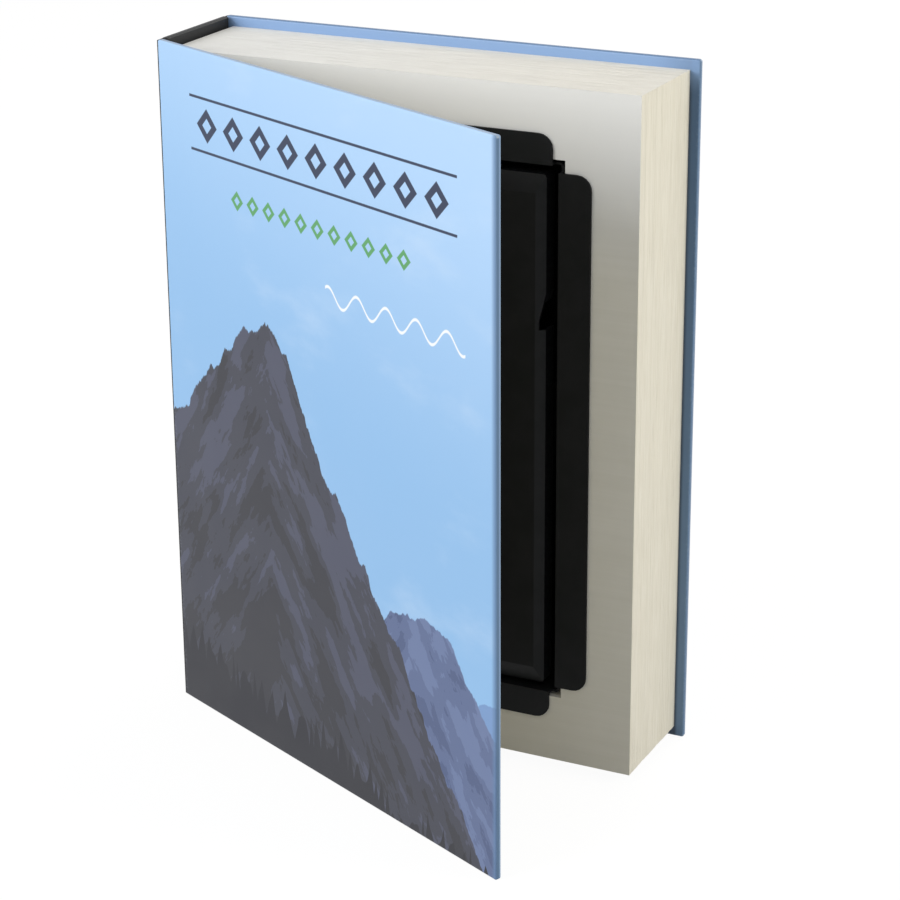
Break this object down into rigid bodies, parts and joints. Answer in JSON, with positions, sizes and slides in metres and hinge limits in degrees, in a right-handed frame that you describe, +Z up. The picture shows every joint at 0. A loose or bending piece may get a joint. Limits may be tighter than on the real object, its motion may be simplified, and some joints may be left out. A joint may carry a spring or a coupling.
{
  "type": "book diversion safe",
  "caption": "Hardcover book of glued paper pages, cut out around a lockable steel box with a hinged lid and a cam lock, standing with its front cover ajar.",
  "frame": {"origin": "middle of the back cover's tail edge, on the surface that the book stands on", "axes": "+Z up along the book's height, +X from the spine to the fore edge, +Y from the front cover to the back cover, out of the back cover's face"},
  "size_m": [0.176, 0.1207, 0.24],
  "materials": {
    "greyboard": "raw grey bookbinding board",
    "cover_paper": "printed sky-blue paper with a satin film",
    "spine_covering": "black coated paper, satin",
    "endpaper": "plain cream endpaper, matt",
    "lining": "brown lining paper, matt",
    "pages": "trimmed cream book paper, matt, with the leaves showing at the edges",
    "tape": "double-sided tape",
    "black_steel": "satin black powder coat",
    "zinc_steel": "zinc plated",
    "chrome": "polished nickel plate",
    "brass": "turned brass"
  },
  "bodies": {
    "back": {"back_board": "greyboard", "back_cover_wrap": "cover_paper", "back_endpaper": "endpaper", "back_joint_strip": "spine_covering", "spine_board": "greyboard", "spine_cover": "spine_covering", "spine_lining": "lining", "page_block": "pages", "front_flyleaf": "pages", "mounting_tape_head": "tape", "mounting_tape_tail": "tape", "mounting_tape_spine_side": "tape", "mounting_tape_fore_side": "tape", "box_body": "black_steel", "upper_hinge_box_leaf": "black_steel", "upper_hinge_pin": "zinc_steel", "upper_box_leaf_rivet_a": "black_steel", "upper_box_leaf_rivet_b": "black_steel", "lower_hinge_box_leaf": "black_steel", "lower_hinge_pin": "zinc_steel", "lower_box_leaf_rivet_a": "black_steel", "lower_box_leaf_rivet_b": "black_steel", "lock_catch": "black_steel", "catch_rivet_a": "black_steel", "catch_rivet_b": "black_steel"},
    "front_joint": {"front_joint_strip": "spine_covering"},
    "cover": {"front_board": "greyboard", "front_cover_wrap": "cover_paper", "front_endpaper": "endpaper"},
    "box_lid": {"lid": "black_steel", "upper_hinge_lid_leaf": "black_steel", "upper_lid_leaf_rivet_a": "black_steel", "upper_lid_leaf_rivet_b": "black_steel", "lower_hinge_lid_leaf": "black_steel", "lower_lid_leaf_rivet_a": "black_steel", "lower_lid_leaf_rivet_b": "black_steel", "lock_barrel": "chrome", "lock_nut": "zinc_steel", "lock_washer": "zinc_steel"},
    "lock": {"lock_plug": "brass", "lock_cam": "zinc_steel", "cam_screw": "zinc_steel"}
  },
  "joints": [
    {"name": "spine_crease", "type": "hinge", "parent": "back", "child": "front_joint", "pos_m": [-0.08785, -0.04265, 0.12], "axis": [0, 0, -1], "range_deg": [0, 90]},
    {"name": "cover_crease", "type": "hinge", "parent": "front_joint", "child": "cover", "pos_m": [-0.08785, -0.04515, 0.12], "axis": [0, 0, -1], "range_deg": [-25, 65]},
    {"name": "lid_hinge", "type": "hinge", "parent": "back", "child": "box_lid", "pos_m": [-0.0571, -0.0409, 0.1202], "axis": [0, 0, -1], "range_deg": [0, 105]},
    {"name": "lock_turn", "type": "hinge", "parent": "box_lid", "child": "lock", "pos_m": [0.0248, -0.0353, 0.1202], "axis": [0, -1, 0], "range_deg": [0, 90]}
  ],
  "couplings": [
    {"joint": "lid_hinge", "follows": "spine_crease", "ratio": 1.1666}
  ]
}
